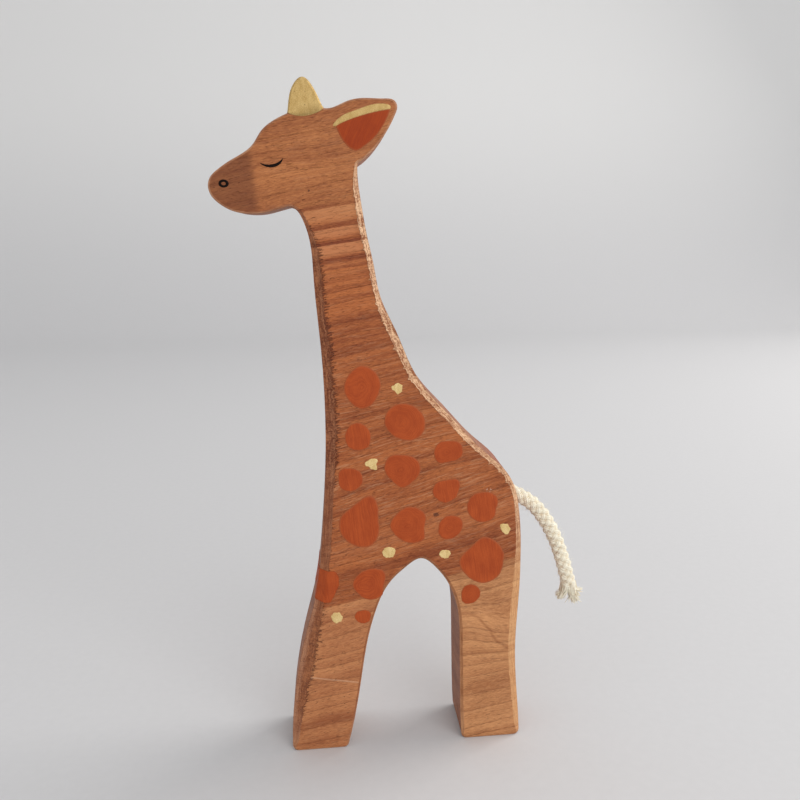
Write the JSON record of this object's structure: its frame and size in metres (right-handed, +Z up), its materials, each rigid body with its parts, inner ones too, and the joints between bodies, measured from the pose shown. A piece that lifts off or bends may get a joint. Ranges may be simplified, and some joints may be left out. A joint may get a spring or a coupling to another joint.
{
  "type": "board-cut toy giraffe",
  "caption": "Flat wooden giraffe sawn from one board, with painted spots, gilded horn and ear, closed eye and a braided cord tail.",
  "frame": {"origin": "middle of the figure's footprint box on the floor, halfway through the board", "axes": "+Z up, -X the way the head points, +Y through the board towards the giraffe's right side"},
  "size_m": [0.1132, 0.0204, 0.2001],
  "materials": {
    "wood": "oiled solid wood, satin, knifed edges",
    "terracotta_paint": "matte brushed paint",
    "deep_terracotta_paint": "matte brushed paint",
    "gold_paint": "soft pale gold paint",
    "black_paint": "fine black brush line",
    "cotton": "undyed braided cotton cord",
    "glue": "dried wood glue"
  },
  "bodies": {
    "root": {"dot_belly_left": "gold_paint", "dot_belly_right": "gold_paint", "dot_breast_left": "gold_paint", "dot_breast_right": "gold_paint", "dot_flank_left": "gold_paint", "dot_flank_right": "gold_paint", "dot_foreleg_left": "gold_paint", "dot_foreleg_right": "gold_paint", "dot_neck_left": "gold_paint", "dot_neck_right": "gold_paint", "dot_rump_left": "gold_paint", "dot_rump_right": "gold_paint", "ear_crescent_left": "gold_paint", "ear_crescent_right": "gold_paint", "ear_lining_left": "deep_terracotta_paint", "ear_lining_right": "deep_terracotta_paint", "eye_line_left": "black_paint", "eye_line_right": "black_paint", "giraffe_board": "wood", "horn_gilding": "gold_paint", "nostril_left": "black_paint", "nostril_right": "black_paint", "spot_back_left": "terracotta_paint", "spot_back_right": "terracotta_paint", "spot_belly_left": "terracotta_paint", "spot_belly_right": "terracotta_paint", "spot_breast_left": "terracotta_paint", "spot_breast_right": "terracotta_paint", "spot_chest_left": "terracotta_paint", "spot_chest_right": "terracotta_paint", "spot_croup_left": "terracotta_paint", "spot_croup_right": "terracotta_paint", "spot_elbow_left": "terracotta_paint", "spot_elbow_right": "terracotta_paint", "spot_flank_left": "terracotta_paint", "spot_flank_right": "terracotta_paint", "spot_forearm_left": "terracotta_paint", "spot_forearm_right": "terracotta_paint", "spot_foreleg_edge_left": "terracotta_paint", "spot_foreleg_edge_right": "terracotta_paint", "spot_haunch_left": "terracotta_paint", "spot_haunch_right": "terracotta_paint", "spot_knee_left": "terracotta_paint", "spot_knee_right": "terracotta_paint", "spot_ribs_left": "terracotta_paint", "spot_ribs_right": "terracotta_paint", "spot_shoulder_left": "terracotta_paint", "spot_shoulder_right": "terracotta_paint", "spot_thigh_left": "terracotta_paint", "spot_thigh_right": "terracotta_paint", "spot_throat_left": "terracotta_paint", "spot_throat_right": "terracotta_paint", "spot_withers_left": "terracotta_paint", "spot_withers_right": "terracotta_paint", "tail_cord": "cotton", "tail_glue": "glue", "tail_tuft": "cotton"}
  },
  "joints": []
}
